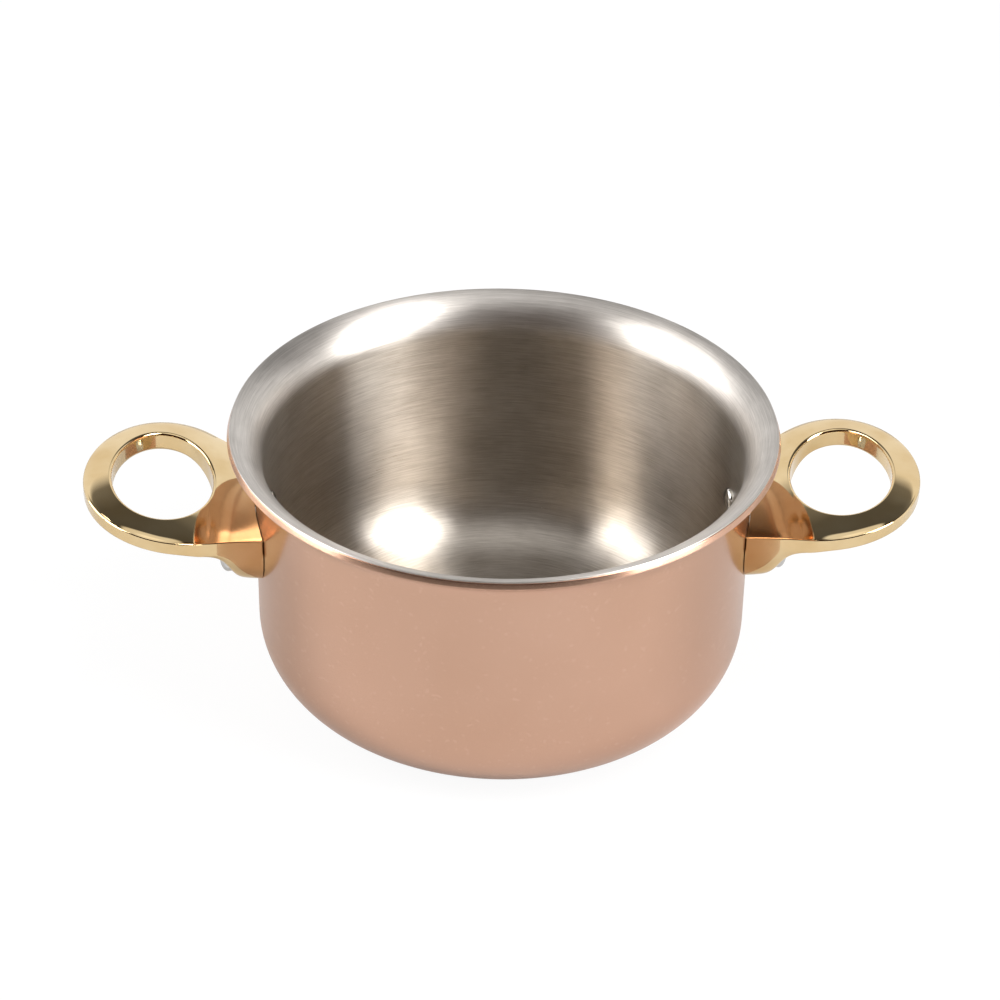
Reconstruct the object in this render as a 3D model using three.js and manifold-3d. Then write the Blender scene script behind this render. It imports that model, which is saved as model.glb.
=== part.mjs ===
// A two-handled copper saucepan: a drawn copper shell with a stainless steel lining, two cast brass
// ring handles, and two stainless rivets through the wall at each handle.
// Millimetres, +Z up. The pan stands on Z = 0 with its axis on Z, and its handles lie along X.
import * as THREE from 'three';
import { mergeVertices } from 'three/addons/utils/BufferGeometryUtils.js';
import Module from 'manifold-3d';

const wasm = await Module();
wasm.setup();

// The pan
const innerRadius = 70; // inside of the straight wall: a 14 cm pan
const rimHeight = 85; // table to the top of the rim
const copperThickness = 1.9;
const liningThickness = 0.4;
const bondGap = 0.1; // the bond between copper and steel
const innerCornerRadius = 20.6; // round corner between wall and base, inside
const flareRadius = 11.8; // bend of the pouring rim, measured on the steel
const flareSweep = THREE.MathUtils.degToRad(79); // the wall turns this far outwards

// A handle, measured outwards from the wall and down from the rim
const ringCentre = 24.1; // wall to the centre of the ring's outer oval
const ringHalfLength = 25.6; // outer oval, along the handle
const ringHalfWidth = 31.8; // outer oval, across the handle
const holeCentre = 26.8; // wall to the centre of the finger hole
const holeHalfLength = 14.5;
const holeHalfWidth = 22.2;
const holeEdgeRadius = 0.9; // rounding of the hole's two edges
const neckHalfWidth = 21.8; // where the neck meets the wall
const handleDrop = 16.8; // rim to the hole's upper edge, over the hole's centre
const handleTilt = THREE.MathUtils.degToRad(9.6); // the handle rises outwards, at the hole's centre
const archRadius = 145; // and levels off on this bend
const ringThickness = 6; // at the hole
const crownDrop = 1.4; // the upper face falls this much from the hole to its outer ridge
const ridgeDrop = 0.7; // and this much more where it turns down close to the ridge
const ridgePower = 8; // how close to the ridge it turns
const lugDepth = 10; // the foot's block against the wall, below the ring's underside
const lugReach = 7.6; // wall to where the block has half its depth
const lugPower = 6; // how steeply the block ends
const webDepth = 5; // the long sweep from the block to the ring's underside
const webReach = 22; // wall to the end of that sweep
const footRoundness = 3; // 2 is an oval foot, and higher is squarer

// A rivet
const rivetPitch = 28; // between the two rivets of a handle, at the wall
const rivetRise = 9; // lowest point of the foot to the rivets
const shankRadius = 1.65;
const headRadius = 3.6;
const innerHeadHeight = 1.5;
const outerHeadHeight = 3.6;
const spotFaceDepth = 1; // the rivet's flat seat, cut into the foot along the rivet
const spotFaceMargin = 0.5; // seat round the head

// Clearances
const seatGap = 0.3; // foot to wall, and rivet heads to their seats
const holeClearance = 0.25; // round a rivet's shank

// Facets
const panSegments = 64;
const cornerSteps = 5;
const flareSteps = 5;
const rivetSegments = 16;
const headSteps = 3;
const footStations = 19;
const ringStations = 14;
const topSteps = 6;
const undersideSteps = 6;
const holeSegments = 40;
const edgeSteps = 3;

const wallThickness = copperThickness + bondGap + liningThickness;
const wallRadius = innerRadius + wallThickness; // outside of the straight wall
const footDepth = lugDepth + webDepth; // lowest point of the foot, below the ring's underside

// Solids for joining and cutting

function solidOf(geometry) {
  const bare = geometry.clone();
  bare.deleteAttribute('normal');
  bare.deleteAttribute('uv');
  const merged = mergeVertices(bare, 1e-4);
  const index = Array.from(merged.index.array);
  const whole = [];
  for (let i = 0; i < index.length; i += 3) {
    const [a, b, c] = index.slice(i, i + 3);
    if (a !== b && b !== c && c !== a) whole.push(a, b, c);
  }
  const mesh = new wasm.Mesh({
    numProp: 3,
    vertProperties: new Float32Array(merged.attributes.position.array),
    triVerts: new Uint32Array(whole),
  });
  return new wasm.Manifold(mesh);
}

function geometryOf(solid) {
  const mesh = solid.getMesh();
  const geometry = new THREE.BufferGeometry();
  geometry.setAttribute('position', new THREE.BufferAttribute(mesh.vertProperties, 3));
  geometry.setIndex(new THREE.BufferAttribute(mesh.triVerts, 1));
  geometry.computeVertexNormals();
  return geometry;
}

// A closed skin over rings of equal count, each running anticlockwise seen from the last ring
function loft(rings) {
  const count = rings[0].length;
  const positions = rings.flat().flatMap((p) => [p.x, p.y, p.z]);
  const index = [];
  for (let i = 0; i + 1 < rings.length; i += 1) {
    for (let j = 0; j < count; j += 1) {
      const a = i * count + j;
      const b = i * count + ((j + 1) % count);
      index.push(a, b, b + count, a, b + count, a + count);
    }
  }
  for (const end of [0, rings.length - 1]) {
    const middle = positions.length / 3;
    const centre = new THREE.Vector3();
    rings[end].forEach((p) => centre.addScaledVector(p, 1 / count));
    positions.push(centre.x, centre.y, centre.z);
    for (let j = 0; j < count; j += 1) {
      const a = end * count + j;
      const b = end * count + ((j + 1) % count);
      if (end === 0) index.push(b, a, middle);
      else index.push(a, b, middle);
    }
  }
  const geometry = new THREE.BufferGeometry();
  geometry.setAttribute('position', new THREE.Float32BufferAttribute(positions, 3));
  geometry.setIndex(index);
  return geometry;
}

// The pan's wall

// One surface of the wall in profile, from the axis to the rim, this far outside the steel's inner face
function wallProfile(outside) {
  const cornerRadius = innerCornerRadius + outside;
  const cornerCentre = new THREE.Vector2(innerRadius - innerCornerRadius, wallThickness + innerCornerRadius);
  const flareCentre = new THREE.Vector2(
    innerRadius + flareRadius,
    rimHeight - flareRadius * Math.sin(flareSweep),
  );
  const points = [new THREE.Vector2(0, wallThickness - outside)];
  for (let i = 0; i <= cornerSteps; i += 1) {
    const turn = (Math.PI / 2) * (i / cornerSteps);
    points.push(
      new THREE.Vector2(Math.sin(turn), -Math.cos(turn)).multiplyScalar(cornerRadius).add(cornerCentre),
    );
  }
  for (let i = 0; i <= flareSteps; i += 1) {
    const turn = flareSweep * (i / flareSteps);
    points.push(
      new THREE.Vector2(-Math.cos(turn), Math.sin(turn))
        .multiplyScalar(flareRadius - outside)
        .add(flareCentre),
    );
  }
  return points;
}

// The layer of wall between two distances from the steel's inner face
function wallLayer(from, to) {
  const profile = [...wallProfile(to), ...wallProfile(from).reverse()];
  const geometry = new THREE.LatheGeometry(profile, panSegments);
  return solidOf(geometry.rotateX(Math.PI / 2));
}

// The handle's shape, in its own frame: X outwards from the wall, Y across, Z up from the table

const holeHeight = rimHeight - handleDrop; // upper edge of the hole, at its centre
const tangentAim = new THREE.Vector2(-ringCentre / ringHalfLength, neckHalfWidth / ringHalfWidth);
const tangentTurn = tangentAim.angle() - Math.acos(1 / tangentAim.length());
const tangentX = ringCentre + ringHalfLength * Math.cos(tangentTurn);
const tangentY = ringHalfWidth * Math.sin(tangentTurn);

// How far the arch lies below the tangent plane at the hole's centre
function archFall(x) {
  return (x - holeCentre) ** 2 / (2 * archRadius);
}

// Height of the hole's upper edge
function ringLine(x) {
  return holeHeight + Math.tan(handleTilt) * (x - holeCentre) - archFall(x);
}

// Half the width of an oval at x
function ovalHalfWidth(x, centre, halfLength, halfWidth) {
  return halfWidth * Math.sqrt(Math.max(0, 1 - ((x - centre) / halfLength) ** 2));
}

// The outline: straight neck sides that run into the outer oval on a tangent
function outlineHalfWidth(x) {
  if (x > tangentX) return ovalHalfWidth(x, ringCentre, ringHalfLength, ringHalfWidth);
  return neckHalfWidth + ((tangentY - neckHalfWidth) * x) / tangentX;
}

function holeHalfWidthAt(x) {
  return ovalHalfWidth(x, holeCentre, holeHalfLength, holeHalfWidth);
}

// How far a point of the upper face lies from the hole's edge (0) towards the outer ridge (1).
// Past the hole's centre it is measured along a ray from that centre, and on the neck side straight across.
function acrossRing(x, y) {
  if (x <= holeCentre) {
    const inner = holeHalfWidthAt(x);
    return (Math.abs(y) - inner) / (outlineHalfWidth(x) - inner);
  }
  const ray = new THREE.Vector2(x - holeCentre, y);
  const distance = ray.length();
  ray.normalize();
  const toHole = 1 / Math.hypot(ray.x / holeHalfLength, ray.y / holeHalfWidth);
  const shift = (holeCentre - ringCentre) / ringHalfLength;
  const along = new THREE.Vector2(ray.x / ringHalfLength, ray.y / ringHalfWidth);
  const half = along.x * shift;
  const toRidge = (-half + Math.sqrt(half ** 2 + along.lengthSq() * (1 - shift ** 2))) / along.lengthSq();
  return (distance - toHole) / (toRidge - toHole);
}

// Upper face: a cone round the hole, which turns into a soft crown along the neck and turns down at the ridge
function upperFace(x, y) {
  const across = THREE.MathUtils.clamp(acrossRing(x, y), 0, 1);
  const power = 1 + THREE.MathUtils.clamp((holeCentre - x) / holeHalfLength, 0, 1);
  return ringLine(x) - crownDrop * across ** power - ridgeDrop * across ** ridgePower;
}

// Depth of the foot below the ring's underside: a block that ends steeply, and half a cosine wave to the ring
function footSweep(x) {
  const out = Math.max(0, x);
  const lug = lugDepth / (1 + (out / lugReach) ** lugPower);
  const web = (webDepth * (1 + Math.cos(Math.PI * Math.min(1, out / webReach)))) / 2;
  return lug + web;
}

// The same at a point beside the middle, on the foot's rounded section
function footDepthAt(x, y) {
  const across = Math.min(1, Math.abs(y) / outlineHalfWidth(x));
  return footSweep(x) * (1 - across ** footRoundness) ** (1 / footRoundness);
}

// One section across the handle: the upper face, the two sides, and a rounded underside
function handleSection(x) {
  const width = outlineHalfWidth(x);
  const inner = holeHalfWidthAt(x);
  const underside = ringLine(x) - ringThickness;
  const half = [new THREE.Vector3(x, 0, upperFace(x, 0))];
  for (let j = 0; j < topSteps; j += 1) {
    const share = j / (topSteps - 1);
    const y = inner + (width - inner) * share * (2 - share);
    half.push(new THREE.Vector3(x, y, upperFace(x, y)));
  }
  for (let j = 0; j <= undersideSteps; j += 1) {
    const turn = (Math.PI / 2) * (j / undersideSteps);
    const y = width * Math.cos(turn) ** (2 / footRoundness);
    const z = underside - footSweep(x) * Math.sin(turn) ** (2 / footRoundness);
    half.push(new THREE.Vector3(x, j === undersideSteps ? 0 : y, z));
  }
  const other = half.slice(1, -1).map((p) => new THREE.Vector3(p.x, -p.y, p.z));
  return [...half, ...other.reverse()].reverse();
}

// The handle without its hole, from inside the wall to the tip
function handleBlank() {
  const wallAtSide = wallRadius - Math.sqrt(wallRadius ** 2 - neckHalfWidth ** 2);
  const start = -wallAtSide - 2 * wallThickness;
  const stations = [];
  for (let i = 0; i < footStations; i += 1) {
    stations.push(start + (webReach - start) * (i / footStations));
  }
  const first = Math.asin((webReach - ringCentre) / ringHalfLength);
  for (let i = 0; i <= ringStations; i += 1) {
    const turn = first + (Math.PI / 2 - first) * (i / ringStations);
    stations.push(ringCentre + ringHalfLength * Math.sin(turn));
  }
  return solidOf(loft(stations.map(handleSection)));
}

// The cutter for the finger hole: stacked ovals that open out at both faces to round the edges.
// The lower edge follows the foot's sweep.
function holeCutter() {
  const beyond = footDepth;
  const levels = [[holeEdgeRadius, -beyond, 'below']];
  for (const face of ['below', 'above']) {
    for (let i = 0; i <= edgeSteps; i += 1) {
      const turn = (Math.PI / 2) * ((face === 'below' ? i : edgeSteps - i) / edgeSteps);
      const outwards = holeEdgeRadius * (1 - Math.sin(turn));
      const inwards = holeEdgeRadius * (1 - Math.cos(turn));
      levels.push([outwards, face === 'below' ? inwards : -inwards, face]);
    }
  }
  levels.push([holeEdgeRadius, beyond, 'above']);
  const rings = levels.map(([outwards, height, face]) => {
    const ring = [];
    for (let j = 0; j < holeSegments; j += 1) {
      const turn = (2 * Math.PI * j) / holeSegments;
      const x = (holeHalfLength + outwards) * Math.cos(turn);
      const y = (holeHalfWidth + outwards) * Math.sin(turn);
      const out = holeCentre + x * Math.cos(handleTilt);
      const lower = face === 'below' ? ringThickness + footDepthAt(out, y) : 0;
      ring.push(new THREE.Vector3(x, y, height - archFall(out) - lower));
    }
    return ring;
  });
  const geometry = loft(rings);
  geometry.rotateY(-handleTilt);
  geometry.translate(holeCentre, 0, holeHeight);
  return solidOf(geometry);
}

// The rivets, in the frame of the right-hand handle with the pan's axis as origin

const rivetTurn = Math.asin(rivetPitch / 2 / wallRadius);
const rivetHeight = ringLine(0) - ringThickness - footDepth + rivetRise;

// Distance from the pan's axis to the foot's surface along a rivet, found by halving
function footFaceAlongRivet() {
  let near = wallRadius;
  let far = wallRadius + webReach;
  const halvings = 40;
  for (let i = 0; i < halvings; i += 1) {
    const middle = (near + far) / 2;
    const x = middle * Math.cos(rivetTurn) - wallRadius;
    const underside = ringLine(x) - ringThickness - footDepthAt(x, middle * Math.sin(rivetTurn));
    if (underside < rivetHeight) near = middle;
    else far = middle;
  }
  return near;
}

const rivetSeat = footFaceAlongRivet() - spotFaceDepth;

// A turned solid whose axis lies along a rivet, from a profile of radius against distance from the pan's axis
function alongRivet(profile, side) {
  const geometry = new THREE.LatheGeometry(profile, rivetSegments);
  geometry.rotateZ(-Math.PI / 2);
  geometry.rotateZ(side * rivetTurn);
  geometry.translate(0, 0, rivetHeight);
  return geometry;
}

function pinProfile(radius, from, to) {
  return [
    new THREE.Vector2(0, from),
    new THREE.Vector2(radius, from),
    new THREE.Vector2(radius, to),
    new THREE.Vector2(0, to),
  ];
}

function rivetHole(side) {
  const from = innerRadius - wallThickness;
  const to = rivetSeat + spotFaceDepth;
  return solidOf(alongRivet(pinProfile(shankRadius + holeClearance, from, to), side));
}

function spotFace(side) {
  const radius = headRadius + spotFaceMargin;
  return solidOf(alongRivet(pinProfile(radius, rivetSeat, rivetSeat + webReach), side));
}

// Low dome inside the pan, shank, and a tall rounded head against the foot
function rivetGeometry(side) {
  const innerSeat = innerRadius - seatGap;
  const outerSeat = rivetSeat + seatGap;
  const profile = [];
  for (let i = 0; i <= headSteps; i += 1) {
    const turn = (Math.PI / 2) * (i / headSteps);
    const distance = innerSeat - innerHeadHeight * Math.cos(turn);
    profile.push(new THREE.Vector2(headRadius * Math.sin(turn), distance));
  }
  profile.push(new THREE.Vector2(shankRadius, innerSeat), new THREE.Vector2(shankRadius, outerSeat));
  profile.push(new THREE.Vector2(headRadius, outerSeat));
  const shoulder = outerHeadHeight / 2;
  for (let i = 0; i <= headSteps; i += 1) {
    const turn = (Math.PI / 2) * (i / headSteps);
    const distance = outerSeat + shoulder + (outerHeadHeight - shoulder) * Math.sin(turn);
    profile.push(new THREE.Vector2(i === headSteps ? 0 : headRadius * Math.cos(turn), distance));
  }
  return geometryOf(solidOf(alongRivet(profile, side)));
}

// The handle in the pan's frame: cut to the wall, with its hole, rivet holes and rivet seats
function handleGeometry() {
  const wall = new THREE.CylinderGeometry(
    wallRadius + seatGap,
    wallRadius + seatGap,
    2 * rimHeight,
    panSegments,
  ).rotateX(Math.PI / 2);
  let solid = handleBlank().subtract(holeCutter()).translate([wallRadius, 0, 0]);
  solid = solid.subtract(solidOf(wall));
  for (const side of [-1, 1]) solid = solid.subtract(rivetHole(side)).subtract(spotFace(side));
  return geometryOf(solid);
}

// A layer of the wall with its four rivet holes
function piercedLayer(from, to) {
  let solid = wallLayer(from, to);
  for (const side of [-1, 1]) {
    const hole = rivetHole(side);
    solid = solid.subtract(hole).subtract(hole.rotate([0, 0, 180]));
  }
  return geometryOf(solid);
}

// Assembly

const satinCopper = { color: 0xc98f70, roughness: 0.3, metalness: 1 };
const brushedSteel = { color: 0xb4ada4, roughness: 0.32, metalness: 1 };
const polishedBrass = { color: 0xd9b36a, roughness: 0.08, metalness: 1 };
const polishedSteel = { color: 0xc9c7c4, roughness: 0.15, metalness: 1 };

function piece(name, geometry, finish) {
  const mesh = new THREE.Mesh(geometry, new THREE.MeshStandardMaterial(finish));
  mesh.name = name;
  return mesh;
}

const saucepan = new THREE.Group();
saucepan.add(piece('copper_shell', piercedLayer(liningThickness + bondGap, wallThickness), satinCopper));
saucepan.add(piece('steel_lining', piercedLayer(0, liningThickness), brushedSteel));

for (const hand of ['right', 'left']) {
  const mounting = new THREE.Group();
  mounting.rotation.z = hand === 'right' ? 0 : Math.PI;
  mounting.add(piece(`${hand}_handle`, handleGeometry(), polishedBrass));
  for (const side of [-1, 1]) {
    const towardsFront = hand === 'right' ? side < 0 : side > 0;
    const place = towardsFront ? 'front' : 'rear';
    mounting.add(piece(`${hand}_${place}_rivet`, rivetGeometry(side), polishedSteel));
  }
  saucepan.add(mounting);
}

export default saucepan;
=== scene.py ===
import math

import bmesh
import bpy
import numpy as np
from mathutils import Matrix, Vector


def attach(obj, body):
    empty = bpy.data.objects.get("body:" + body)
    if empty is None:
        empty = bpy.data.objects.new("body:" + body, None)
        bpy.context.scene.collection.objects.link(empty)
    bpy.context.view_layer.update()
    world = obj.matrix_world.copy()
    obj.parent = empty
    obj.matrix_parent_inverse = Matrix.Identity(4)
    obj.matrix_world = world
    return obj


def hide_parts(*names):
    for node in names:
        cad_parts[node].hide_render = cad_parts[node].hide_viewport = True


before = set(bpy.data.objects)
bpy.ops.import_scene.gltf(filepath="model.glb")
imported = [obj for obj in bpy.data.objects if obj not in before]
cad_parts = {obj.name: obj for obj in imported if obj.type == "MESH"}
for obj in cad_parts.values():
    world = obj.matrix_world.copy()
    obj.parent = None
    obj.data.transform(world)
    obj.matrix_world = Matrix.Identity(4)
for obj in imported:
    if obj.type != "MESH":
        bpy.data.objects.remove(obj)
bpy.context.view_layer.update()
mm = 0.001
print("frame loaded with", len(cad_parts), "nodes")


# meshes

mergeWithin = 2e-7  # metres


# quads between neighbours of a (rows, columns, 3) grid in mm, whose last row meets the first, and whose
# columns do so too if asked
def gridPiece(name, grid, material, wrapColumns=True):
    rows, columns = grid.shape[:2]
    number = np.arange(rows * columns).reshape(rows, columns)
    right = np.roll(number, -1, axis=1)
    below = np.roll(number, -1, axis=0)
    corner = np.roll(right, -1, axis=0)
    quads = np.stack([number, right, corner, below], axis=-1)
    quads = quads[:, : columns if wrapColumns else columns - 1]
    mesh = bpy.data.meshes.new(name)
    mesh.from_pydata((grid.reshape(-1, 3) * mm).tolist(), [], quads.reshape(-1, 4).tolist())
    tidy = bmesh.new()
    tidy.from_mesh(mesh)
    # closes poles, and edges whose rounding has shrunk to nothing
    bmesh.ops.remove_doubles(tidy, verts=tidy.verts, dist=mergeWithin)
    bmesh.ops.recalc_face_normals(tidy, faces=tidy.faces)
    for face in tidy.faces:
        face.smooth = True
    tidy.to_mesh(mesh)
    tidy.free()
    mesh.materials.append(material)
    piece = bpy.data.objects.new(name, mesh)
    bpy.context.scene.collection.objects.link(piece)
    return piece


# a profile of (radius, height) rows turned about Z: x = r cos a, y = r sin a
def turned(profile, segments):
    angle = np.linspace(0, 2 * np.pi, segments, endpoint=False)[:, None]
    radius, height = profile[:, 0], profile[:, 1]
    return np.stack([radius * np.cos(angle), radius * np.sin(angle), height + 0 * angle], axis=-1)


# quarter of a circle in steps, from (0, 1) to (1, 0)
def quarter(steps):
    turn = np.linspace(0, np.pi / 2, steps)
    return np.sin(turn), np.cos(turn)


# node helpers

def newFinish(name):
    material = bpy.data.materials.new(name)
    material.use_nodes = True
    tree = material.node_tree
    tree.nodes.clear()
    output = tree.nodes.new("ShaderNodeOutputMaterial")
    shader = tree.nodes.new("ShaderNodeBsdfPrincipled")
    tree.links.new(shader.outputs["BSDF"], output.inputs["Surface"])
    return material, tree, shader


def dressMetal(tree, shader, colour, rough, normal):
    for name, value in (("Base Color", colour), ("Roughness", rough), ("Normal", normal)):
        tree.links.new(value, shader.inputs[name])
    shader.inputs["Metallic"].default_value = 1


def objectPlace(tree):
    return tree.nodes.new("ShaderNodeTexCoord").outputs["Object"]


def mathNode(tree, operation, first, second=None, third=None):
    node = tree.nodes.new("ShaderNodeMath")
    node.operation = operation
    for socket, value in zip(node.inputs, (first, second, third)):
        if value is None:
            continue
        if isinstance(value, (int, float)):
            socket.default_value = value
        else:
            tree.links.new(value, socket)
    return node.outputs[0]


def noiseNode(tree, vector, scale, detail=2.0, roughness=0.5, fourth=None):
    node = tree.nodes.new("ShaderNodeTexNoise")
    node.noise_dimensions = "4D" if fourth is not None else "3D"
    node.inputs["Scale"].default_value = scale
    node.inputs["Detail"].default_value = detail
    node.inputs["Roughness"].default_value = roughness
    tree.links.new(vector, node.inputs["Vector"])
    if fourth is not None:
        tree.links.new(fourth, node.inputs["W"])
    return node.outputs["Fac"]


# coordinates turned and drawn out along their y axis, for hair lines
def stretchNode(tree, vector, turn, along):
    node = tree.nodes.new("ShaderNodeMapping")
    node.inputs["Rotation"].default_value = turn
    node.inputs["Scale"].default_value = (1, along, 1)
    tree.links.new(vector, node.inputs["Vector"])
    return node.outputs[0]


def rampNode(tree, factor, stops):
    node = tree.nodes.new("ShaderNodeValToRGB")
    elements = node.color_ramp.elements
    while len(elements) < len(stops):
        elements.new(0.5)
    for element, (place, colour) in zip(elements, stops):
        element.position = place
        element.color = (*colour, 1)
    tree.links.new(factor, node.inputs["Fac"])
    return node.outputs["Color"]


def mixColour(tree, factor, first, second):
    node = tree.nodes.new("ShaderNodeMix")
    node.data_type = "RGBA"
    for socket, value in ((node.inputs[0], factor), (node.inputs[6], first), (node.inputs[7], second)):
        if isinstance(value, tuple):
            socket.default_value = (*value, 1)
        else:
            tree.links.new(value, socket)
    return node.outputs[2]


def bumpNode(tree, height, strength, distance, after=None):
    node = tree.nodes.new("ShaderNodeBump")
    node.inputs["Strength"].default_value = strength
    node.inputs["Distance"].default_value = distance
    tree.links.new(height, node.inputs["Height"])
    if after is not None:
        tree.links.new(after, node.inputs["Normal"])
    return node.outputs["Normal"]


# spread of a 0 to 1 pattern between two values
def rangeNode(tree, value, low, high):
    node = tree.nodes.new("ShaderNodeMapRange")
    node.inputs["To Min"].default_value = low
    node.inputs["To Max"].default_value = high
    tree.links.new(value, node.inputs["Value"])
    return node.outputs["Result"]


# a soft step of a value between two levels
def stepNode(tree, value, start, end):
    node = tree.nodes.new("ShaderNodeMapRange")
    node.interpolation_type = "SMOOTHSTEP"
    node.inputs["From Min"].default_value = start
    node.inputs["From Max"].default_value = end
    tree.links.new(value, node.inputs["Value"])
    return node.outputs["Result"]


axisClear = 1e-5  # metres, so that nothing is divided by zero on the axis


# object coordinates, and the same wrapped round the pan's axis: a direction on the unit circle
# times turns, with height, and the radius as fourth coordinate, so that lines run round the axis
def roundAxis(tree, turns, fine):
    place = objectPlace(tree)
    parts = tree.nodes.new("ShaderNodeSeparateXYZ")
    tree.links.new(place, parts.inputs[0])
    x, y, z = parts.outputs
    squares = mathNode(tree, "ADD", mathNode(tree, "MULTIPLY", x, x), mathNode(tree, "MULTIPLY", y, y))
    radius = mathNode(tree, "SQRT", squares)
    safe = mathNode(tree, "MAXIMUM", radius, axisClear)
    wrapped = tree.nodes.new("ShaderNodeCombineXYZ")
    for socket, value in zip(wrapped.inputs, (x, y)):
        tree.links.new(mathNode(tree, "MULTIPLY", mathNode(tree, "DIVIDE", value, safe), turns), socket)
    tree.links.new(mathNode(tree, "MULTIPLY", z, fine), wrapped.inputs[2])
    return place, wrapped.outputs[0], mathNode(tree, "MULTIPLY", radius, fine)


quarterTurn = 0.25


# brushing round the pan's axis, which draws reflections out across it
def radialTangent(tree, shader):
    node = tree.nodes.new("ShaderNodeTangent")
    node.direction_type = "RADIAL"
    node.axis = "Z"
    tree.links.new(node.outputs[0], shader.inputs["Tangent"])
    shader.inputs["Anisotropic Rotation"].default_value = quarterTurn


# finishes: a noise is given by its scale, detail and roughness, a bump by its strength and its depth
# in metres

# the flare's tones are painted sheen: paler than the wall, they stand in for the flare's bright reflections
steelLook = dict(dark=(0.40, 0.355, 0.305), light=(0.60, 0.55, 0.49), tones=(0.38, 0.62),
                 roughness=(0.25, 0.32), aniso=1.0, turns=6, fine=9000, coarse=3000, lines=(1.0, 3.0, 0.6),
                 streaks=(1.0, 4.0, 0.7), clouds=(55, 3.0, 0.6), streakShare=0.7, cloudShare=0.3,
                 brush=(0.25, 0.00002), grain=(0.25, 0.00008), rimFrom=0.072, rimTo=0.078,
                 paintedRimSheenDark=(0.48, 0.447, 0.413), paintedRimSheenLight=(0.685, 0.645, 0.605), rimRough=0.11, rimOpen=0.3)


# stainless steel brushed round the axis: fine lines, coarser streaks among them, a faint cloudiness
# from washing, and a rougher brushing on the flare, whose paler tones are painted sheen for its bright
# reflections
def makeSteel(look):
    material, tree, shader = newFinish("brushedSteel")
    place, wrapped, across = roundAxis(tree, look["turns"], look["fine"])
    lines = noiseNode(tree, wrapped, *look["lines"], across)
    wrapped, across = roundAxis(tree, look["turns"], look["coarse"])[1:]
    streaks = noiseNode(tree, wrapped, *look["streaks"], across)
    clouds = noiseNode(tree, place, *look["clouds"])
    cloudy = mathNode(tree, "MULTIPLY", clouds, look["cloudShare"])
    tone = mathNode(tree, "MULTIPLY_ADD", streaks, look["streakShare"], cloudy)
    parts = tree.nodes.new("ShaderNodeSeparateXYZ")
    tree.links.new(place, parts.inputs[0])
    rim = stepNode(tree, parts.outputs[2], look["rimFrom"], look["rimTo"])
    body = rampNode(tree, tone, list(zip(look["tones"], (look["dark"], look["light"]))))
    # painted sheen: the flare's paler tones stand in for the bright reflections on it
    flare = rampNode(tree, tone, list(zip(look["tones"], (look["paintedRimSheenDark"], look["paintedRimSheenLight"]))))
    rough = mathNode(tree, "MULTIPLY_ADD", rim, look["rimRough"], rangeNode(tree, tone, *look["roughness"]))
    brushed = bumpNode(tree, lines, *look["brush"])
    grained = bumpNode(tree, streaks, *look["grain"], brushed)
    dressMetal(tree, shader, mixColour(tree, rim, body, flare), rough, grained)
    grooved = mathNode(tree, "MULTIPLY_ADD", rim, -look["rimOpen"], look["aniso"])
    tree.links.new(grooved, shader.inputs["Anisotropic"])
    radialTangent(tree, shader)
    return material


copperLook = dict(dark=(0.54, 0.334, 0.233), light=(0.61, 0.389, 0.283), tones=(0.25, 0.75),
                  pink=(0.58, 0.356, 0.263), pinkShare=0.35, roughness=(0.22, 0.27), aniso=0.6, turns=7,
                  fine=5200, lines=(1.0, 2.0, 0.5), clouds=(22, 2.0, 0.5), blush=(14, 2.0, 0.5),
                  brush=(0.05, 0.00002), hairStretch=0.02, hairDetail=0.0, hairFrom=0.78,
                  hairs=[((0.4, 0.9, 0.3), 700), ((1.2, 0.2, 0.8), 900), ((0.1, 0.6, 1.5), 620)],
                  hairColour=(0.95, 0.68, 0.55), hairShare=0.10, hairBump=(0.04, 0.00003))


# copper with a satin polish round the axis, soft tarnish clouds, and thin stray scratches
def makeCopper(look):
    material, tree, shader = newFinish("satinCopper")
    place, wrapped, across = roundAxis(tree, look["turns"], look["fine"])
    lines = noiseNode(tree, wrapped, *look["lines"], across)
    clouds = noiseNode(tree, place, *look["clouds"])
    blush = noiseNode(tree, place, *look["blush"])
    body = rampNode(tree, clouds, list(zip(look["tones"], (look["dark"], look["light"]))))
    scratches = None
    for turn, scale in look["hairs"]:
        drawn = stretchNode(tree, place, turn, look["hairStretch"])
        hair = noiseNode(tree, drawn, scale, look["hairDetail"])
        line = mathNode(tree, "GREATER_THAN", hair, look["hairFrom"])
        scratches = line if scratches is None else mathNode(tree, "MAXIMUM", scratches, line)
    warm = mathNode(tree, "MULTIPLY", blush, look["pinkShare"])
    colour = mixColour(tree, warm, body, look["pink"])
    scratched = mathNode(tree, "MULTIPLY", scratches, look["hairShare"])
    colour = mixColour(tree, scratched, colour, look["hairColour"])
    rough = rangeNode(tree, clouds, *look["roughness"])
    brushed = bumpNode(tree, lines, *look["brush"])
    dressMetal(tree, shader, colour, rough, bumpNode(tree, scratches, *look["hairBump"], brushed))
    shader.inputs["Anisotropic"].default_value = look["aniso"]
    radialTangent(tree, shader)
    return material


brassLook = dict(dark=(0.66, 0.47, 0.23), light=(0.78, 0.61, 0.36), tones=(0.3, 0.68),
                 roughness=(0.02, 0.07), clouds=(60, 3.0, 0.55), waves=(95, 1.0, 0.4), wave=(0.06, 0.0004),
                 marks=(2600, 2.0, 0.6), markTurn=(0.0, 0.0, 0.5), markStretch=0.08, polish=(0.02, 0.00001))


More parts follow.
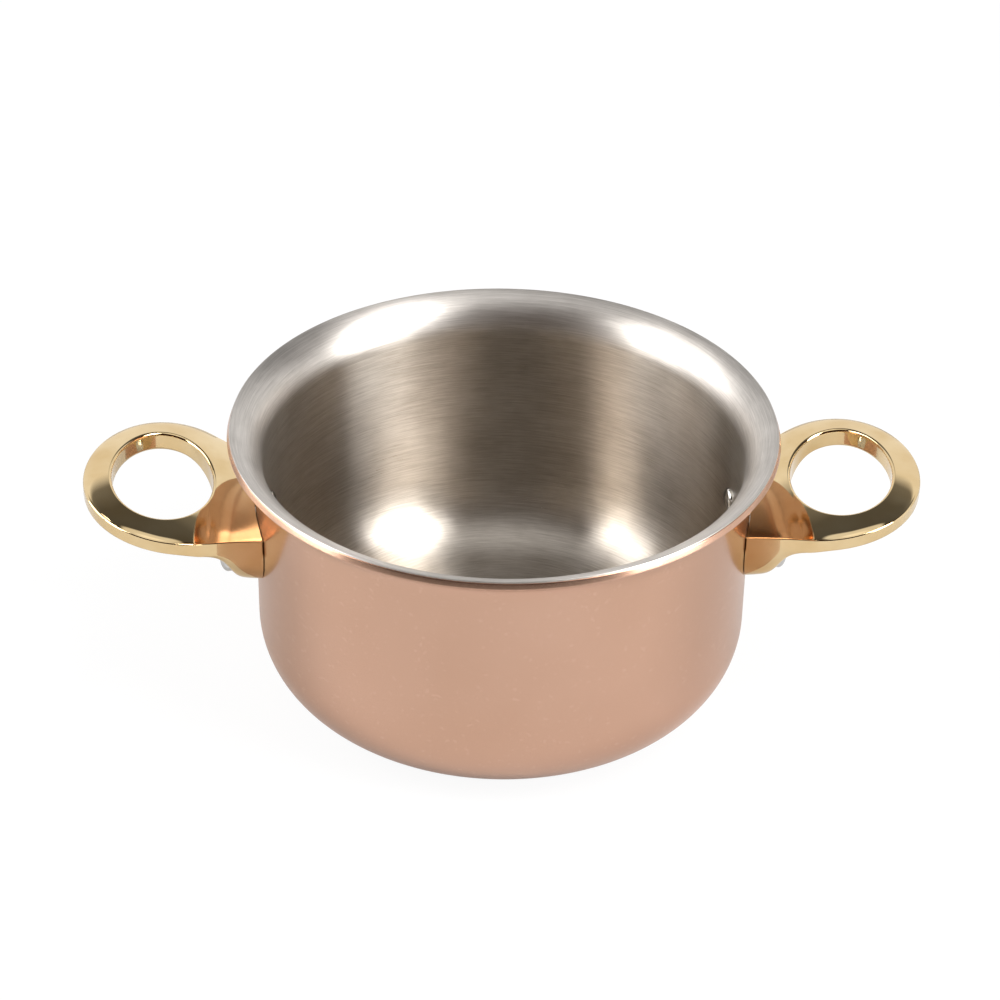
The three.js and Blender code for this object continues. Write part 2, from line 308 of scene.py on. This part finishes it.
# cast brass buffed to a mirror: a slow waviness left by the buff, and faint fine polishing marks
def makeBrass(look):
    material, tree, shader = newFinish("polishedBrass")
    place = objectPlace(tree)
    clouds = noiseNode(tree, place, *look["clouds"])
    waves = noiseNode(tree, place, *look["waves"])
    marks = noiseNode(tree, stretchNode(tree, place, look["markTurn"], look["markStretch"]), *look["marks"])
    colour = rampNode(tree, clouds, list(zip(look["tones"], (look["dark"], look["light"]))))
    rough = rangeNode(tree, clouds, *look["roughness"])
    slow = bumpNode(tree, waves, *look["wave"])
    dressMetal(tree, shader, colour, rough, bumpNode(tree, marks, *look["polish"], slow))
    return material


rivetLook = dict(dark=(0.52, 0.51, 0.50), light=(0.66, 0.655, 0.64), tones=(0.3, 0.7),
                 roughness=(0.10, 0.22), clouds=(420, 3.0, 0.6), dents=(700, 1.0, 0.4), dent=(0.15, 0.0001))


# polished steel rivet heads with small dents from setting
def makeRivetSteel(look):
    material, tree, shader = newFinish("polishedSteel")
    place = objectPlace(tree)
    clouds = noiseNode(tree, place, *look["clouds"])
    dents = noiseNode(tree, place, *look["dents"])
    colour = rampNode(tree, clouds, list(zip(look["tones"], (look["dark"], look["light"]))))
    rough = rangeNode(tree, clouds, *look["roughness"])
    dressMetal(tree, shader, colour, rough, bumpNode(tree, dents, *look["dent"]))
    return material


satinCopper = makeCopper(copperLook)
brushedSteel = makeSteel(steelLook)
polishedBrass = makeBrass(brassLook)
polishedSteel = makeRivetSteel(rivetLook)
print("finishes made")


# the pan: copper outside, steel inside, all in mm and degrees

pan = dict(innerRadius=70, rimHeight=85, wall=2.4, lining=0.4, bond=0.03, innerCorner=20.6, flareRadius=11.8,
           flareSweep=79, edgeSlant=0.15, copperEdge=0.22, liningEdge=0.12, segments=288, baseSteps=14,
           cornerSteps=28, wallSteps=8, flareSteps=28, edgeSteps=6, rimSteps=6)
panWall = pan["wall"]
panRadius = pan["innerRadius"] + panWall
flareTurn = math.radians(pan["flareSweep"])
flareLength = pan["flareRadius"] * flareTurn


# a point in the flare, by its length along the steel from the cut edge and its depth into the sheet;
# the edge is cut at a slant, so that the steel ends a little inside the copper
def flarePoint(along, outside):
    slant = pan["edgeSlant"] * (outside - panWall) * (1 + along / flareLength)
    turn = flareTurn + (along + slant) / pan["flareRadius"]
    reach = pan["flareRadius"] - outside
    top = pan["rimHeight"] - pan["flareRadius"] * math.sin(flareTurn)
    radius = pan["innerRadius"] + pan["flareRadius"] - reach * np.cos(turn)
    return np.stack([radius, top + reach * np.sin(turn)], axis=-1)


# a face of the sheet in profile, this far outside the steel's inner face: flat base, quarter-round
# corner, straight wall, then the flare's arc, which stops short of the cut edge by a length
def sheetFace(outside, short):
    sine, cosine = quarter(pan["cornerSteps"])
    corner = pan["innerCorner"] + outside
    centre = pan["innerRadius"] - pan["innerCorner"]
    base = np.linspace(0, 1, pan["baseSteps"])[:-1, None] * [centre, 0] + [0, panWall - outside]
    bend = np.stack([centre + corner * sine, panWall + pan["innerCorner"] - corner * cosine], axis=-1)
    flare = flarePoint(np.linspace(-flareLength, -short, pan["flareSteps"]), outside)
    wall = bend[-1] + np.linspace(0, 1, pan["wallSteps"])[1:-1, None] * (flare[0] - bend[-1])
    return np.concatenate([base, bend, wall, flare])


# a closed layer of the sheet between two depths, with its two edges at the rim rounded
def sheetLayer(inner, outer, edge):
    sine, cosine = quarter(pan["edgeSteps"])
    lower = flarePoint(edge * (sine - 1), outer - edge + edge * cosine)
    upper = flarePoint(edge * (cosine - 1), inner + edge - edge * sine)
    depth = np.linspace(outer - edge, inner + edge, pan["rimSteps"])[1:-1]
    face = flarePoint(np.zeros(len(depth)), depth)
    outerFace = sheetFace(outer, edge)[:-1]
    innerFace = sheetFace(inner, edge)[:-1][::-1]
    return np.concatenate([outerFace, lower, face, upper, innerFace])


copperProfile = sheetLayer(pan["lining"] + pan["bond"], panWall, pan["copperEdge"])
liningProfile = sheetLayer(0, pan["lining"], pan["liningEdge"])
copperShell = gridPiece("copperBody", turned(copperProfile, pan["segments"]), satinCopper, wrapColumns=False)
steelLining = gridPiece("steelSkin", turned(liningProfile, pan["segments"]), brushedSteel, wrapColumns=False)
print("pan made")


# the cast handles, with x outwards from the pan's wall

handle = dict(ringCentre=24.1, ringHalfLength=25.6, ringHalfWidth=31.8, holeCentre=26.8, holeHalfLength=14.5,
              holeHalfWidth=22.2, neckHalfWidth=21.8, drop=16.8, tilt=9.6, arch=145, thickness=6.0,
              crown=1.4, bevel=0.7, bevelPower=8, lugDepth=10.0, lugReach=7.6, lugPower=6, webDepth=5.0,
              webReach=22.0, roundness=3.0, seat=0.2, holeEdge=0.9, ridgeEdge=0.5, tipEdge=0.9, tipPower=3,
              seatSharp=0.9, lowerEdge=0.8, edgeFade=2, cornerGuess=-4.5, cornerTries=12, ovalSteps=180,
              sideSteps=30, wallSteps=40, underSteps=26, edgeSteps=5, crowding=2.3)
topShares = [0, 0.01, 0.025, *np.linspace(0.05, 0.95, 25), 0.975, 0.99, 1]
sideShares = (0.06, 0.35, 0.65, 0.94, 1.0)
holeShares = (0.05, 0.35, 0.65, 0.95, 1.0)
lastShares = (0.985, 1.0)
tiny = 1e-6  # keeps divisors above zero


def ovalHalf(x, centre, length, width):
    return width * np.sqrt(np.maximum(0, 1 - ((x - centre) / length) ** 2))


# angle on the outer oval where the straight neck side leaves it: the tangent from the neck's corner
# at the wall
def neckTangent(h):
    aim = np.array([-h["ringCentre"] / h["ringHalfLength"], h["neckHalfWidth"] / h["ringHalfWidth"]])
    return math.atan2(aim[1], aim[0]) - math.acos(1 / np.hypot(*aim))


def outlineHalf(h, x):
    turn = neckTangent(h)
    tangentX = h["ringCentre"] + h["ringHalfLength"] * math.cos(turn)
    tangentY = h["ringHalfWidth"] * math.sin(turn)
    neck = h["neckHalfWidth"] + (tangentY - h["neckHalfWidth"]) * x / tangentX
    oval = ovalHalf(x, h["ringCentre"], h["ringHalfLength"], h["ringHalfWidth"])
    return np.where(x > tangentX, oval, neck)


# height of the hole's upper edge along the handle: it rises outwards and levels off on an arch
def ringLine(h, x):
    out = x - h["holeCentre"]
    rise = math.tan(math.radians(h["tilt"])) * out
    return pan["rimHeight"] - h["drop"] + rise - out ** 2 / (2 * h["arch"])


# upper face: falls from the hole's edge to the outer ridge, straight on the ring and as a soft crown on the
# neck, and turns down more steeply close to the ridge
def upperFace(h, x, y):
    inner = ovalHalf(x, h["holeCentre"], h["holeHalfLength"], h["holeHalfWidth"])
    sideways = (np.abs(y) - inner) / np.maximum(outlineHalf(h, x) - inner, tiny)
    dx = x - h["holeCentre"]
    reach = np.maximum(np.hypot(dx, y), tiny)
    rayX, rayY = dx / reach, y / reach
    toHole = 1 / np.hypot(rayX / h["holeHalfLength"], rayY / h["holeHalfWidth"])
    shift = (h["holeCentre"] - h["ringCentre"]) / h["ringHalfLength"]
    ax, ay = rayX / h["ringHalfLength"], rayY / h["ringHalfWidth"]
    square = ax ** 2 + ay ** 2
    toRidge = (-ax * shift + np.sqrt((ax * shift) ** 2 + square * (1 - shift ** 2))) / square
    across = np.clip(np.where(dx > 0, (reach - toHole) / (toRidge - toHole), sideways), 0, 1)
    inwards = np.clip(-dx / h["holeHalfLength"], 0, 1)
    power = 1 + inwards ** 2 * (3 - 2 * inwards)
    return ringLine(h, x) - h["crown"] * across ** power - h["bevel"] * across ** h["bevelPower"]


# depth of the foot below the ring's underside: a block that ends steeply, and half a cosine wave out
# to the ring
def footSweep(h, x):
    out = np.maximum(x, 0)
    lug = h["lugDepth"] / (1 + (out / h["lugReach"]) ** h["lugPower"])
    return lug + h["webDepth"] * (1 + np.cos(np.pi * np.clip(out / h["webReach"], 0, 1))) / 2


# underside: flat under the ring, with the rounded foot below it
def lowerFace(h, x, y):
    sweep = footSweep(h, x)
    across = np.clip(np.abs(y) / np.maximum(outlineHalf(h, x), tiny), 0, 1)
    return ringLine(h, x) - h["thickness"] - sweep * (1 - across ** h["roundness"]) ** (1 / h["roundness"])


# plan outline: round the oval's tip, in along a neck side, across the wall and out again; with each point,
# how far it is at the tip and whether it is on the wall
def handleOutline(h):
    turn = neckTangent(h)
    seat = panRadius + h["seat"]
    cornerX = h["cornerGuess"]
    for step in range(h["cornerTries"]):
        cornerX = math.sqrt(seat ** 2 - float(outlineHalf(h, np.array(cornerX))) ** 2) - panRadius
    cornerY = float(outlineHalf(h, np.array(cornerX)))
    oval = np.linspace(turn, -turn, h["ovalSteps"])
    tipX = h["ringCentre"] + h["ringHalfLength"] * np.cos(oval)
    tip = np.stack([tipX, h["ringHalfWidth"] * np.sin(oval)], axis=-1)
    share = np.linspace(0, 1, h["sideSteps"])[1:, None]
    inwards = tip[-1] + share * (np.array([cornerX, -cornerY]) - tip[-1])
    # close steps by the corners, where the foot is steep
    half = 1 - np.linspace(1, 0, h["wallSteps"])[:-1] ** h["crowding"]
    wallTurn = math.asin(cornerY / seat) * np.concatenate([-half[::-1][:-1], half])
    wall = np.stack([seat * np.cos(wallTurn) - panRadius, seat * np.sin(wallTurn)], axis=-1)
    outwards = inwards[::-1][:-1] * [1, -1]
    corner = np.array([[cornerX, cornerY]])
    points = np.concatenate([tip, inwards, wall, corner, outwards])
    atTip = np.zeros(len(points))
    atTip[: len(tip)] = np.clip(np.cos(oval), 0, 1) ** h["tipPower"]
    onWall = np.zeros(len(points))
    wallFrom = len(tip) + len(inwards)
    onWall[wallFrom : wallFrom + len(wall)] = 1
    return points, atTip, onWall


# one loop for each outline point: over the top from the hole to the ridge, down the side, back under
# and up the hole, with each edge rounded by a quarter circle
def handleGrid(h):
    points, atTip, onWall = handleOutline(h)
    ray = points - np.array([h["holeCentre"], 0])
    length = np.linalg.norm(ray, axis=1)
    ray = ray / length[:, None]
    toHole = 1 / np.hypot(ray[:, 0] / h["holeHalfLength"], ray[:, 1] / h["holeHalfWidth"])
    depth = footSweep(h, points[:, 0])
    ridge = (h["ridgeEdge"] + (h["tipEdge"] - h["ridgeEdge"]) * atTip) * (1 - h["seatSharp"] * onWall)
    under = h["lowerEdge"] * np.clip(1 - depth / h["edgeFade"], 0, 1)
    edge = h["holeEdge"]

    def at(distance):
        out = distance - length
        return points[:, 0] + ray[:, 0] * out, points[:, 1] + ray[:, 1] * out

    def face(shape, start, end, shares):
        run = [start + (end - start) * share for share in shares]
        return [(d, shape(h, *at(d))) for d in run]

    sine, cosine = quarter(h["edgeSteps"])
    bend = list(zip(sine[1:], cosine[1:]))
    inner, outer = toHole + edge, length - ridge
    loop = face(upperFace, inner, outer, topShares)
    holeTop, ridgeTop = loop[0][1], loop[-1][1]
    loop += [(outer + ridge * s, ridgeTop - ridge * (1 - c)) for s, c in bend]
    low = np.where(onWall > 0, lowerFace(h, *at(length)), lowerFace(h, *at(length - under)))
    sideTop, sideLow = ridgeTop - ridge, low + under
    loop += [(length, sideTop + (sideLow - sideTop) * share) for share in sideShares]
    loop += [(length - under * (1 - c), low + under * (1 - s)) for s, c in bend]
    # close steps by the side, where the foot is steep
    back = np.linspace(0, 1, h["underSteps"])[1:-1] ** h["crowding"]
    loop += face(lowerFace, length - under, inner, [*back, *lastShares])
    holeLow = loop[-1][1]
    loop += [(toHole + edge * (1 - s), holeLow + edge * (1 - c)) for s, c in bend]
    wallLow, wallTop = holeLow + edge, holeTop - edge
    loop += [(toHole, wallLow + (wallTop - wallLow) * share) for share in holeShares]
    loop += [(toHole + edge * (1 - c), wallTop + edge * s) for s, c in bend[:-1]]
    columns = []
    for distance, height in loop:
        x, y = at(distance)
        columns.append(np.stack([x + panRadius, y, height], axis=-1))
    return np.stack(columns, axis=1)


handleShape = handleGrid(handle)
rightHandle = gridPiece("brassHandleRight", handleShape, polishedBrass)
leftHandle = gridPiece("brassHandleLeft", handleShape * [-1, -1, 1], polishedBrass)
print("handles made")


# the rivets

rivet = dict(pitch=28, height=49.2, shank=1.65, head=3.6, innerHeight=1.6, innerGap=0.02, outerFrom=80.2,
             outerTo=84.0, shoulder=0.45, segments=48, headSteps=12)


# half-round head inside the pan, a shank, and a taller rounded head outside, turned about the rivet's axis
def rivetGrid(r, side):
    sine, cosine = quarter(r["headSteps"])
    innerSeat = pan["innerRadius"] + r["innerGap"]
    inner = np.stack([r["head"] * sine, innerSeat - r["innerHeight"] * cosine], axis=-1)
    shank = np.array([[r["shank"], innerSeat], [r["shank"], r["outerFrom"]], [r["head"], r["outerFrom"]]])
    shoulder = r["outerFrom"] + r["shoulder"] * (r["outerTo"] - r["outerFrom"])
    outer = np.stack([r["head"] * cosine, shoulder + (r["outerTo"] - shoulder) * sine], axis=-1)
    grid = turned(np.concatenate([inner, shank, outer]), r["segments"])
    turn = side * math.asin(r["pitch"] / 2 / panRadius)
    along, across, up = grid[..., 2], grid[..., 0], grid[..., 1]
    x = along * math.cos(turn) - across * math.sin(turn)
    y = along * math.sin(turn) + across * math.cos(turn)
    return np.stack([x, y, up + r["height"]], axis=-1)


rivetPieces = {}
for hand, flip in (("right", 1), ("left", -1)):
    for place, side in (("front", -1), ("rear", 1)):
        grid = rivetGrid(rivet, side * flip) * [flip, flip, 1]
        piece = gridPiece(f"rivet_{hand}_{place}", grid, polishedSteel, wrapColumns=False)
        rivetPieces[f"{hand}_{place}_rivet"] = piece
print("rivets made")


# standing for the CAD nodes

for piece, node, slot in ((copperShell, "copper_shell", "satin_copper"),
                          (steelLining, "steel_lining", "brushed_steel"),
                          (rightHandle, "right_handle", "polished_brass"),
                          (leftHandle, "left_handle", "polished_brass")):
    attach(piece, "root")
    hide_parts(node)
for node, piece in rivetPieces.items():
    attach(piece, "root")
    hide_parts(node)


# studio: white floor, cloth behind, soft boxes at both sides, a pale ceiling, and a dark room before
# the pan; compass turns are in degrees from straight behind it, heights in the sky are sines of the rise

studio = dict(floorSize=6, floorDrop=0.0002, floorWhite=1.05, floorShade=0.53, floorGlow=0.20, shadow=0.12,
              room=(0.040, 0.019, 0.009), clothLeft=-68, clothRight=66, sideSoft=7,
              cloth=[(0.525, 1.06), (0.585, 0.22), (0.70, 0.12), (0.87, 0.10)],
              lowRight=104, lowFade=(0.52, 0.32), lowLevel=(1.2, 1.2, 1.2),
              ceiling=0.95, ceilingFade=(0.88, 0.92), zenith=0.4, zenithFade=(0.96, 1.0), aimHeight=0.06,
              boxes=[dict(turn=-102, rise=25, away=1.3, wide=0.60, tall=1.28, level=6.3),
                     dict(turn=-74, rise=25, away=1.3, wide=0.66, tall=1.28, level=3.9),
                     dict(turn=110, rise=33, away=1.3, wide=0.36, tall=1.6, level=10.0),
                     dict(turn=126, rise=33, away=1.3, wide=0.38, tall=1.6, level=9.0)])
white = (1.0, 1.0, 1.0)


# the floor is white to the camera and a little so in reflections, with part of its own lit shade for
# the shadow
def makeFloor(s):
    half = s["floorSize"] / 2
    corners = [(-half, -half, 0), (half, -half, 0), (half, half, 0), (-half, half, 0)]
    mesh = bpy.data.meshes.new("studioFloor")
    mesh.from_pydata(corners, [], [(0, 1, 2, 3)])
    floor = bpy.data.objects.new("studioFloor", mesh)
    floor.location.z = -s["floorDrop"]
    bpy.context.scene.collection.objects.link(floor)
    material = bpy.data.materials.new("floorWhite")
    material.use_nodes = True
    tree = material.node_tree
    tree.nodes.clear()
    output = tree.nodes.new("ShaderNodeOutputMaterial")
    lit = tree.nodes.new("ShaderNodeBsdfDiffuse")
    lit.inputs["Color"].default_value = (s["floorShade"],) * 3 + (1,)
    glow = tree.nodes.new("ShaderNodeEmission")
    glow.inputs["Color"].default_value = (s["floorWhite"],) * 3 + (1,)
    path = tree.nodes.new("ShaderNodeLightPath")
    mirrored = mathNode(tree, "MULTIPLY", path.outputs["Is Glossy Ray"], s["floorGlow"])
    seen = mathNode(tree, "MULTIPLY_ADD", path.outputs["Is Camera Ray"], 1 - s["shadow"], mirrored)
    mix = tree.nodes.new("ShaderNodeMixShader")
    tree.links.new(seen, mix.inputs["Fac"])
    tree.links.new(lit.outputs[0], mix.inputs[1])
    tree.links.new(glow.outputs[0], mix.inputs[2])
    tree.links.new(mix.outputs[0], output.inputs["Surface"])
    mesh.materials.append(material)


# one between two compass turns, with soft sides
def spanNode(tree, turn, start, end, soft):
    rise = stepNode(tree, turn, math.radians(start - soft), math.radians(start + soft))
    fall = stepNode(tree, turn, math.radians(end + soft), math.radians(end - soft))
    return mathNode(tree, "MULTIPLY", rise, fall)


# white to the camera; elsewhere a dark room, with a cloth behind that dims upwards and runs on low at
# the right, and a pale ceiling
def makeWorld(s):
    world = bpy.data.worlds.new("studio")
    bpy.context.scene.world = world
    world.use_nodes = True
    tree = world.node_tree
    tree.nodes.clear()
    output = tree.nodes.new("ShaderNodeOutputWorld")
    ground = tree.nodes.new("ShaderNodeBackground")
    parts = tree.nodes.new("ShaderNodeSeparateXYZ")
    tree.links.new(tree.nodes.new("ShaderNodeTexCoord").outputs["Generated"], parts.inputs[0])
    x, y, z = parts.outputs
    turn = mathNode(tree, "ARCTAN2", x, y)
    cloth = rampNode(tree, z, [(place, (level,) * 3) for place, level in s["cloth"]])
    behind = spanNode(tree, turn, s["clothLeft"], s["clothRight"], s["sideSoft"])
    colour = mixColour(tree, behind, s["room"], cloth)
    low = stepNode(tree, z, *s["lowFade"])
    right = spanNode(tree, turn, s["clothRight"], s["lowRight"], s["sideSoft"])
    colour = mixColour(tree, mathNode(tree, "MULTIPLY", right, low), colour, s["lowLevel"])
    sky = mathNode(tree, "MULTIPLY_ADD", stepNode(tree, z, *s["zenithFade"]), s["zenith"], s["ceiling"])
    colour = mixColour(tree, stepNode(tree, z, *s["ceilingFade"]), colour, sky)
    path = tree.nodes.new("ShaderNodeLightPath")
    colour = mixColour(tree, path.outputs["Is Camera Ray"], colour, white)
    tree.links.new(colour, ground.inputs["Color"])
    tree.links.new(ground.outputs[0], output.inputs["Surface"])


# soft boxes by compass turn, rise, distance, size in metres and brightness
def makeBoxes(s):
    for number, box in enumerate(s["boxes"]):
        lamp = bpy.data.lights.new(f"softBox{number}", "AREA")
        lamp.shape = "RECTANGLE"
        lamp.size = box["wide"]
        lamp.size_y = box["tall"]
        lamp.energy = box["level"] * math.pi * box["wide"] * box["tall"]
        turn, rise = math.radians(box["turn"]), math.radians(box["rise"])
        way = Vector((math.sin(turn) * math.cos(rise), math.cos(turn) * math.cos(rise), math.sin(rise)))
        piece = bpy.data.objects.new(f"softBox{number}", lamp)
        piece.location = way * box["away"] + Vector((0, 0, s["aimHeight"]))
        piece.rotation_euler = (-way).to_track_quat("-Z", "Y").to_euler()
        bpy.context.scene.collection.objects.link(piece)


makeFloor(studio)
makeWorld(studio)
makeBoxes(studio)
print("studio made")


# the camera, from the photograph: place, aim, lens and film in mm, roll in degrees, near limit in metres

shot = dict(place=(-32.4, -719.0, 537.5), aim=(-0.81, 0.04, 58.5), roll=1.041, lens=105.94, film=36,
            near=0.01)


def makeCamera(s):
    lens = bpy.data.cameras.new("photoCamera")
    lens.lens = s["lens"]
    lens.sensor_width = s["film"]
    lens.clip_start = s["near"]
    camera = bpy.data.objects.new("photoCamera", lens)
    back = (Vector(s["place"]) - Vector(s["aim"])).normalized()
    right = Vector((0, 0, 1)).cross(back).normalized()
    up = back.cross(right)
    roll = math.radians(s["roll"])
    side = right * math.cos(roll) + up * math.sin(roll)
    top = up * math.cos(roll) - right * math.sin(roll)
    turn = Matrix((side, top, back)).transposed().to_4x4()
    camera.matrix_world = Matrix.Translation(Vector(s["place"]) * mm) @ turn
    bpy.context.scene.collection.objects.link(camera)
    bpy.context.scene.camera = camera


makeCamera(shot)
bpy.context.scene.view_settings.view_transform = "Standard"
print("camera set")
